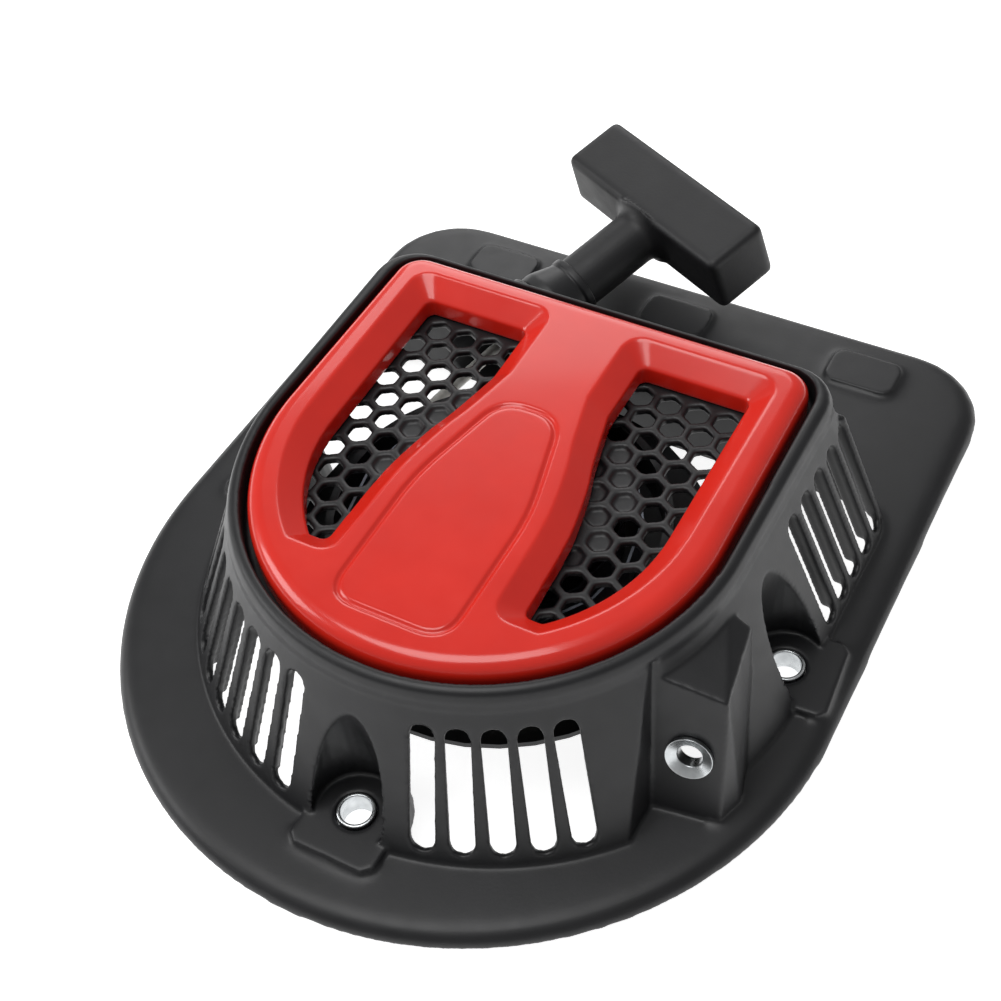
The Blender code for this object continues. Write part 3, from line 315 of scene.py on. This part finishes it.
def roundUp(mesh):
    # takes the flats out of the round front, which the frame has in short straight steps
    for vertex in mesh.vertices:
        low = onFlange(vertex.co)
        centre = reelAxis + housing["flangeShift"] if low else reelAxis
        step = math.radians(housing["flangeStep"] if low else housing["frontStep"])
        out = (vertex.co - centre).xy
        if out.y > 0 or out.length < housing["roundFrom"]:
            continue
        turn = abs(math.atan2(out.x, -out.y))
        offMiddle = (turn / step) % 1.0 - 0.5
        grow = math.cos(offMiddle * step) / math.cos(step / 2)
        vertex.co.xy = centre.xy + out * grow


def easeRim(mesh):
    # the flange's foot is one long even edge, so it is smoothed further than the rest
    shape = bmesh.new()
    shape.from_mesh(mesh)
    rim = [vertex for vertex in shape.verts if onFlange(vertex.co)]
    for _ in range(housing["rimPasses"]):
        bmesh.ops.smooth_vert(shape, verts=rim, factor=0.5, use_axis_x=True, use_axis_y=True, use_axis_z=True)
    shape.to_mesh(mesh)
    shape.free()


# webs stand behind the wall between the cooling slots; each row has its first place, its step,
# how many slots it serves and how deep its webs are (degrees for the left row, mm for the sides)
web = {"thick": 2.0 * mm, "low": 7.5 * mm, "high": 45.5 * mm, "foot": 94.02 * mm, "footHigh": 5 * mm,
       "lean": math.radians(21.5), "sunk": 1.2 * mm,
       "left": (-14.3, -7.03, 9, 3.4 * mm), "sides": (27.7, 9.4, 5, 4.6 * mm)}


def webFrames():
    # each web's place and its depth
    first, step, count, deep = web["left"]
    places = [(Matrix.Rotation(math.radians(first + step * (index - 0.5) - 90), 4, "Z"), deep)
              for index in range(count + 1)]
    first, step, count, deep = web["sides"]
    for index in range(count + 1):
        along = Matrix.Translation((0, (first + step * (index - 0.5)) * mm, 0))
        places += [(along, deep), (along @ Matrix.Rotation(math.pi, 4, "Z"), deep)]
    return places


def addWebs(shape):
    lean = math.tan(web["lean"])
    for place, deep in webFrames():
        made = bmesh.ops.create_cube(shape, size=1.0)["verts"]
        for corner in made:
            high = web["high"] if corner.co.z > 0 else web["low"]
            outer = web["foot"] - (high - web["footHigh"]) * lean - web["sunk"]
            corner.co = (outer if corner.co.x > 0 else outer - deep,
                         math.copysign(web["thick"] / 2, corner.co.y), high)
        bmesh.ops.transform(shape, matrix=Matrix.Translation(reelAxis) @ place, verts=made)


def makeHousing():
    shape = bmesh.new()
    shape.from_mesh(copyOf("blower_housing"))
    addWebs(shape)
    mesh = castMesh("housingSkin", meshFrom("housingWebs", shape), housing["voxel"], housing["passes"],
                    housing["keep"])
    roundUp(mesh)
    easeRim(mesh)
    addPiece("blowerHousing", mesh, housingPlastic, "housing", "black_plastic", "blower_housing", sharp=0)
    print("housing cast")


coverLow, coverHigh = (Vector(corner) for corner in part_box("front_cover"))
cover = {"radius": reelAxis.y - coverLow.y, "rear": coverHigh.y - reelAxis.y, "low": coverLow.z,
         "top": coverHigh.z, "draw": 0.9 * mm, "corner": 9 * mm, "edge": 5 * mm, "wall": 2.2 * mm,
         "rim": 9.2 * mm, "rearRim": 7.4 * mm, "frontRim": 23.2 * mm, "slope": 6.5 * mm, "slopeDeep": 5 * mm,
         "windowCorner": 6 * mm, "cornerLoss": 0.6, "spineHalf": 12.5 * mm, "spineFront": 24 * mm,
         "spine": ((12.5, 34.0), (16.5, 17.0), (19.5, 7.0), (22.5, -8.0), (23.5, -20.0)),
         "panel": ((18.0, -58.0), (18.0, -12.0), (9.4, 23.2), (-9.4, 23.2), (-18.0, -12.0), (-18.0, -58.0)),
         "panelCorner": 9 * mm, "groove": 0.85 * mm, "innerEdge": 0.9,
         "sleeveWall": 2 * mm, "sleeveDrop": 1.2 * mm, "sleeveRise": 6 * mm,
         "underInside": 2 * mm, "underSleeve": 4 * mm, "underWindow": 5 * mm, "overTop": 1 * mm,
         "voxel": 0.55 * mm, "passes": 7}


def dOutline(front, half, rear, corner):
    # round in front, straight at the sides and the rear
    across = half - corner
    along = rear - corner
    reach = math.hypot(across, along)
    touch = math.degrees(math.atan2(along, across) - math.acos((front - corner) / reach))
    right = arcPoints((0, 0), front, -90, touch, 60) + arcPoints((across, along), corner, touch, 90, 16)
    return right + [(-x, y) for x, y in reversed(right[1:])]


def coverOutline(inset):
    return dOutline(cover["radius"] - inset, cover["radius"] - cover["draw"] - inset, cover["rear"] - inset,
                    cover["corner"] - inset)


def windowOutline(inset):
    radius = cover["radius"] - cover["rim"] - inset
    front = -(cover["radius"] - cover["frontRim"]) + inset
    rear = cover["rear"] - cover["rearRim"] - inset
    corner = cover["windowCorner"] * (1.0 - cover["cornerLoss"] * max(inset, 0.0) / cover["slope"])
    innerFront = cover["spineFront"] + inset
    innerRear = cover["spineHalf"] + inset
    points = arcPoints((innerFront + corner, front + corner), corner, 180, 270, 8)
    points += arcPoints((0, 0), radius, math.degrees(math.asin(front / radius)), 0, 40)
    points += arcPoints((radius - corner, rear - corner), corner, 0, 90, 10)
    points += arcPoints((innerRear + corner, rear - corner), corner, 90, 180, 10)
    spine = smoothLine([Vector(bend) for bend in cover["spine"]], 6)
    return points + [(bend.x * mm + inset, bend.y * mm) for bend in spine]


def windowTool(name, side, levels):
    outlines = [([(side * x, y) for x, y in windowOutline(inset)], z) for inset, z in levels]
    return holder(name + str(side), loftMesh(name + str(side), outlines))


def makeCover():
    edge = cover["edge"]
    wall = cover["wall"]
    low = cover["low"]
    top = cover["top"]
    rounding = [math.radians(90 * step / 12) for step in range(13)]
    sections = [(coverOutline(0), low)]
    sections += [(coverOutline(edge * (1 - math.cos(turn))), top - edge + edge * math.sin(turn))
                 for turn in rounding]
    body = holder("coverBody", loftMesh("coverBody", sections))
    inside = holder("coverInside", loftMesh("coverInside", [
        (coverOutline(wall), low - cover["underInside"]), (coverOutline(wall), top - edge),
        (coverOutline(edge * cover["innerEdge"]), top - wall)]))
    # each window's walls slope in and then drop straight; its sleeve is the wall left round them
    slope = cover["slope"] / cover["slopeDeep"]
    turnAt = top - cover["slopeDeep"]
    sleeve = cover["slope"] - cover["sleeveWall"]
    sleeveTurn = turnAt - cover["sleeveDrop"]
    sleeveLevels = [(sleeve, low - cover["underSleeve"]), (sleeve, sleeveTurn),
                    (sleeve - slope * cover["sleeveRise"], sleeveTurn + cover["sleeveRise"])]
    windowLevels = [(cover["slope"], low - cover["underWindow"]), (cover["slope"], turnAt), (0.0, top),
                    (-slope * cover["overTop"], top + cover["overTop"])]
    sleeves = [windowTool("sleeve", side, sleeveLevels) for side in (1, -1)]
    windows = [windowTool("window", side, windowLevels) for side in (1, -1)]
    for sleeveTool in sleeves:
        cut(inside, sleeveTool)
    line = softCorners([(x * mm, y * mm) for x, y in cover["panel"]], cover["panelCorner"], 10)
    tube = tubeMesh("panelGroove", [Vector((x, y, top)) for x, y in line], cover["groove"])
    groove = holder("panelGroove", tube)
    for tool in (inside, *windows, groove):
        cut(body, tool)
    mesh = castMesh("coverSkin", finished(body, [inside, *sleeves, *windows, groove]), cover["voxel"],
                    cover["passes"])
    mesh.transform(Matrix.Translation(reelAxis))
    addPiece("frontCover", mesh, coverPlastic, "housing", "red_plastic", "front_cover", sharp=0)
    print("cover cast")


def tubeMesh(name, line, radius):
    # a round tube along a closed line
    curve = bpy.data.curves.new(name, "CURVE")
    curve.dimensions = "3D"
    curve.bevel_depth = radius
    curve.bevel_resolution = 2
    spline = curve.splines.new("POLY")
    spline.points.add(len(line) - 1)
    for point, place in zip(spline.points, line):
        point.co = (*place, 1.0)
    spline.use_cyclic_u = True
    shape = bmesh.new()
    shape.from_mesh(finished(holder(name, curve)))
    bmesh.ops.remove_doubles(shape, verts=shape.verts, dist=weldGap)
    return meshFrom(name, shape)


bush = {"outer": 5.5 * mm, "bore": 4.4 * mm, "lip": 0.45 * mm}
eyelet = {"flange": 6.5 * mm, "lip": 1.5 * mm, "dish": 1.1 * mm, "bore": 3.5 * mm, "tube": 4.4 * mm,
          "deep": 3.6 * mm, "gap": 0.3 * mm, "ease": 0.3 * mm, "flare": 0.6 * mm, "round": 0.25 * mm,
          "normal": Vector((0.145, -0.945, 0.291)).normalized()}
turnedSteps = 72


def makeBushes():
    for side in ("front", "right", "left"):
        low, high = (Vector(corner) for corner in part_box("mount_bush_" + side))
        middle = Matrix.Translation(((low.x + high.x) / 2, (low.y + high.y) / 2, 0))
        corners = [(bush["outer"], high.z), (bush["outer"], low.z),
                   (bush["bore"], low.z), (bush["bore"], high.z)]
        mesh = turnedMesh("bush", softCorners(corners, bush["lip"]), turnedSteps, middle)
        addPiece("mountBush." + side, mesh, zincPlate, "housing", "zinc_steel", "mount_bush_" + side, sharp=0)


def makeEyelet():
    # its flange faces along the normal; the tube runs back into the block
    gap = eyelet["gap"]
    bore = eyelet["bore"]
    brim = gap + eyelet["lip"]
    throat = brim - eyelet["dish"]
    corners = [(eyelet["flange"], brim), (eyelet["flange"], gap), (eyelet["tube"], gap),
               (eyelet["tube"], -eyelet["deep"]), (bore, -eyelet["deep"]), (bore, throat - eyelet["ease"]),
               (bore + eyelet["flare"], throat)]
    turn = eyelet["normal"].to_track_quat("Z", "Y").to_matrix().to_4x4()
    mesh = turnedMesh("eyelet", softCorners(corners, eyelet["round"]), turnedSteps, turn)
    # the ring's own box is laid on the box of the steel ring in the frame
    low, high = (Vector(corner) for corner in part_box("side_eyelet"))
    spans = [[vertex.co[axis] for vertex in mesh.vertices] for axis in range(3)]
    made = Vector([max(span) + min(span) for span in spans])
    mesh.transform(Matrix.Translation((low + high - made) / 2))
    addPiece("sideEyelet", mesh, zincPlate, "housing", "zinc_steel", "side_eyelet", sharp=0)
    print("steel fittings turned")


# lengths along the pull axis are measured forwards from the middle of the handle's bar
guide = {"mouth": 40.5 * mm, "ridge": 10.4 * mm, "waist": 9.95 * mm, "flare": 12.5 * mm, "flareAt": 51.5 * mm,
         "seat": 55.5 * mm, "spigot": 6 * mm, "end": 61.5 * mm, "cup": 9.5 * mm, "cupFloor": 50.3 * mm,
         "bore": 3 * mm, "exit": 5 * mm, "exitDeep": 3 * mm, "ridgeLong": 2.2 * mm, "waistFrom": 3 * mm,
         "round": 0.7 * mm}
handle = {"voxel": 0.6 * mm, "passes": 9, "stem": 9.15 * mm, "stemFillet": 4 * mm, "barHalf": 10.4 * mm,
          "bore": 3.4 * mm, "sunk": 0.5 * mm, "fillOver": 1 * mm}


def makeGuide():
    mouth = guide["mouth"]
    corners = [(guide["spigot"], guide["end"]), (guide["spigot"], guide["seat"]),
               (guide["flare"], guide["seat"]), (guide["flare"], guide["flareAt"]),
               (guide["waist"], mouth + guide["waistFrom"]), (guide["ridge"], mouth + guide["ridgeLong"]),
               (guide["ridge"], mouth), (guide["cup"], mouth), (guide["cup"], guide["cupFloor"]),
               (guide["bore"], guide["cupFloor"]), (guide["bore"], guide["end"] - guide["exitDeep"]),
               (guide["exit"], guide["end"])]
    mesh = turnedMesh("guide", softCorners(corners, guide["round"]), 96, pullFrame)
    addPiece("ropeGuide", mesh, housingPlastic, "housing", "black_plastic", "rope_guide", sharp=50)
    print("guide turned")


def makeHandle():
    # the moulded grip, with a fillet where the stem runs into the bar
    item = holder("grip", copyOf("handle_grip"))
    stem = handle["stem"]
    fillet = handle["stemFillet"]
    start = handle["barHalf"]
    rise = start + handle["fillOver"]
    profile = [(handle["bore"], start), (stem + fillet, start)]
    for step in range(0, 91, 15):
        turn = math.radians(step)
        profile.append((stem + fillet * (1 - math.sin(turn)), rise + fillet * (1 - math.cos(turn))))
    profile += [(stem - handle["sunk"], rise + fillet), (handle["bore"], rise + fillet)]
    collar = holder("gripFillet", turnedMesh("gripFillet", profile, 64, pullFrame))
    cut(item, collar, "UNION")
    mesh = castMesh("gripSkin", finished(item, [collar]), handle["voxel"], handle["passes"])
    addPiece("handleGrip", mesh, gripRubber, "handle", "black_rubber", "handle_grip", sharp=0)
    print("handle cast")


rope = {"radius": 2.0 * mm, "strands": 4, "lay": 5.5 * mm, "bump": 0.16 * mm, "sides": 16, "step": 0.55 * mm,
        "stretchFrom": 49 * mm, "stretchTo": 12 * mm, "travel": joints["handle_pull"]["range_m"][1],
        "drawnStep": 1.1 * mm, "leaveRadius": 56 * mm, "entryAhead": 10 * mm, "beforeExit": 3 * mm,
        "insideExit": 2 * mm, "tailSteps": 12, "intoKnot": 5.0 * mm,
        "bow": ((0.25, Vector((-1.2, 0.0, 0.3))), (0.5, Vector((-1.8, 0.0, 0.3))),
                (0.78, Vector((-1.2, 0.0, 0.0)))),
        "windRadius": 52.3 * mm, "windTurns": 2.0}


def pullPoint(distance):
    return barMiddle - pullWay * distance


def braidMesh(name, samples):
    # samples are (place, length of rope up to there); diamonds of plaited strands stand out of the surface
    shape = bmesh.new()
    half = rope["strands"] / 2
    rings = []
    side = None
    for index, (place, length) in enumerate(samples):
        ahead = samples[min(index + 1, len(samples) - 1)][0] - samples[max(index - 1, 0)][0]
        ahead.normalize()
        side = ahead.orthogonal() if side is None else side - ahead * side.dot(ahead)
        side.normalize()
        across = ahead.cross(side)
        ring = []
        for step in range(rope["sides"]):
            turn = math.tau * step / rope["sides"]
            twist = math.tau * length / rope["lay"]
            plait = math.cos(half * turn + twist) * math.cos(half * turn - twist)
            radius = rope["radius"] - rope["bump"] * (0.5 - 0.5 * plait)
            ring.append(shape.verts.new(place + (side * math.cos(turn) + across * math.sin(turn)) * radius))
        rings.append(ring)
    for first, second in zip(rings, rings[1:]):
        for step in range(rope["sides"]):
            after = (step + 1) % rope["sides"]
            shape.faces.new((first[step], first[after], second[after], second[step]))
    shape.faces.new(list(reversed(rings[0])))
    shape.faces.new(rings[-1])
    return meshFrom(name, shape)


def makeRopeLead():
    # from the reel, through the guide and the stem, to the knot in the bar
    windLow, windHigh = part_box("rope_winding")
    leave = Vector((reelAxis.x - rope["leaveRadius"], reelAxis.y, (windLow[2] + windHigh[2]) / 2))
    entry = pullPoint(guide["end"] + rope["entryAhead"])
    way = entry - leave
    route = [leave] + [leave + way * share + aside * mm for share, aside in rope["bow"]]
    route += [entry, pullPoint(guide["end"] + rope["beforeExit"]),
              pullPoint(guide["end"] - rope["insideExit"]), pullPoint(rope["stretchFrom"])]
    samples = []
    length = 0.0
    line = smoothLine(route, 24)
    for first, second in zip([line[0]] + line, line):
        length += (second - first).length
        samples.append((second, length))
    # the stretch in the stem holds the whole pull's plait, close together, until it is drawn out
    drawn = rope["travel"] + rope["stretchFrom"] - rope["stretchTo"]
    count = int(drawn / rope["drawnStep"])
    for step in range(1, count + 1):
        share = step / count
        distance = rope["stretchFrom"] + (rope["stretchTo"] - rope["stretchFrom"]) * share
        samples.append((pullPoint(distance), length + drawn * share))
    length += drawn
    end = rope["intoKnot"] - (middleOf("handle_knot") - barMiddle).dot(pullWay)
    tail = rope["stretchTo"] - end
    for step in range(1, rope["tailSteps"] + 1):
        share = step / rope["tailSteps"]
        samples.append((pullPoint(rope["stretchTo"] - tail * share), length + tail * share))
    lead = addPiece("ropeLead", braidMesh("ropeLead", samples), ropeFibre, None, "rope_white",
                    "rope_lead", sharp=0)
    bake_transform(lead)


def makeWinding():
    low, high = (Vector(corner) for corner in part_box("rope_winding"))
    bottom = low.z + rope["radius"]
    top = high.z - rope["radius"]
    whole = math.tau * rope["windRadius"] * rope["windTurns"]
    count = int(whole / rope["step"])
    samples = []
    for step in range(count + 1):
        share = step / count
        turn = math.tau * rope["windTurns"] * share + math.pi
        place = reelAxis + Vector((math.cos(turn), math.sin(turn), 0)) * rope["windRadius"]
        place.z = bottom + (top - bottom) * share
        samples.append((place, whole * share))
    addPiece("ropeWinding", braidMesh("ropeWinding", samples), ropeFibre, "reel", "rope_white",
             "rope_winding", sharp=0)
    print("rope plaited")


# pieces that keep their own shape
kept = ((zincPlate, ("post_insert", "retainer_disc", "clamp_bracket", "centre_bolt", "knot_washer",
                     "cover_screw_1", "cover_screw_2", "cover_screw_3", "cover_screw_4")),
        (springSteel, ("recoil_spring",)), (bearingBronze, ("thrust_washer", "reel_bush")),
        (ropeFibre, ("reel_knot", "handle_knot")), (housingPlastic, ("rope_reel",)))


def finishKept():
    for material, names in kept:
        for name in names:
            data = nodes[name].data
            data.materials.clear()
            data.materials.append(material)


stage = {"half": 30.0, "under": 0.5 * mm, "paper": 0.8, "paperRough": 0.9, "glow": 0.88, "sky": 0.34,
         "over": ((-0.15, -0.15, 1.1), 0.7, 7.5), "rear": ((-0.5, 0.95, 0.62), 0.7, 4.5),
         "left": ((-0.9, -0.35, 0.55), 0.5, 4.0)}  # each lamp's place, size and power
view = {"turn": 33.963, "lift": 48.813, "roll": -7.100, "lens": 61.03, "sensor": 36.0,
        "place": Vector((0.17797, -0.26226, 0.40732))}


def makeStage():
    # pale floor that also glows a little, so that it stays pale under the slots
    shape = bmesh.new()
    bmesh.ops.create_grid(shape, x_segments=1, y_segments=1, size=stage["half"])
    floor = holder("floor", meshFrom("floor", shape))
    floor.location.z = -stage["under"]
    paper = bpy.data.materials.new("paper")
    paper.use_nodes = True
    shader = paper.node_tree.nodes["Principled BSDF"]
    shader.inputs["Base Color"].default_value = (stage["paper"], stage["paper"], stage["paper"], 1)
    shader.inputs["Roughness"].default_value = stage["paperRough"]
    shader.inputs["Emission Color"].default_value = (1, 1, 1, 1)
    shader.inputs["Emission Strength"].default_value = stage["glow"]
    floor.data.materials.append(paper)
    sky = bpy.data.worlds.new("studio")
    sky.use_nodes = True
    background = sky.node_tree.nodes["Background"]
    background.inputs["Color"].default_value = (1, 1, 1, 1)
    background.inputs["Strength"].default_value = stage["sky"]
    bpy.context.scene.world = sky
    bpy.context.scene.view_settings.view_transform = "Standard"
    for name in ("over", "rear", "left"):
        place, size, power = stage[name]
        lamp = bpy.data.lights.new(name, "AREA")
        lamp.size = size
        lamp.energy = power
        item = holder(name, lamp)
        item.location = reelAxis + Vector(place)
        item.rotation_euler = (-Vector(place)).to_track_quat("-Z", "Y").to_euler()


def makeCamera():
    turn = math.radians(view["turn"])
    lift = math.radians(view["lift"])
    roll = math.radians(view["roll"])
    back = Vector((math.sin(turn) * math.cos(lift), -math.cos(turn) * math.cos(lift), math.sin(lift)))
    level = (-back).cross(Vector((0, 0, 1))).normalized()
    upright = level.cross(-back)
    right = level * math.cos(roll) + upright * math.sin(roll)
    up = upright * math.cos(roll) - level * math.sin(roll)
    data = bpy.data.cameras.new("camera")
    data.lens = view["lens"]
    data.sensor_width = view["sensor"]
    camera = holder("camera", data)
    aim = Matrix((right, up, back)).transposed().to_4x4()
    camera.matrix_world = Matrix.Translation(reelAxis + view["place"]) @ aim
    bpy.context.scene.camera = camera
    print("stage set")


makeStage()
makeCamera()
makeHousing()
makeCover()
makeBushes()
makeEyelet()
makeGuide()
makeHandle()
makeRopeLead()
makeWinding()
finishKept()
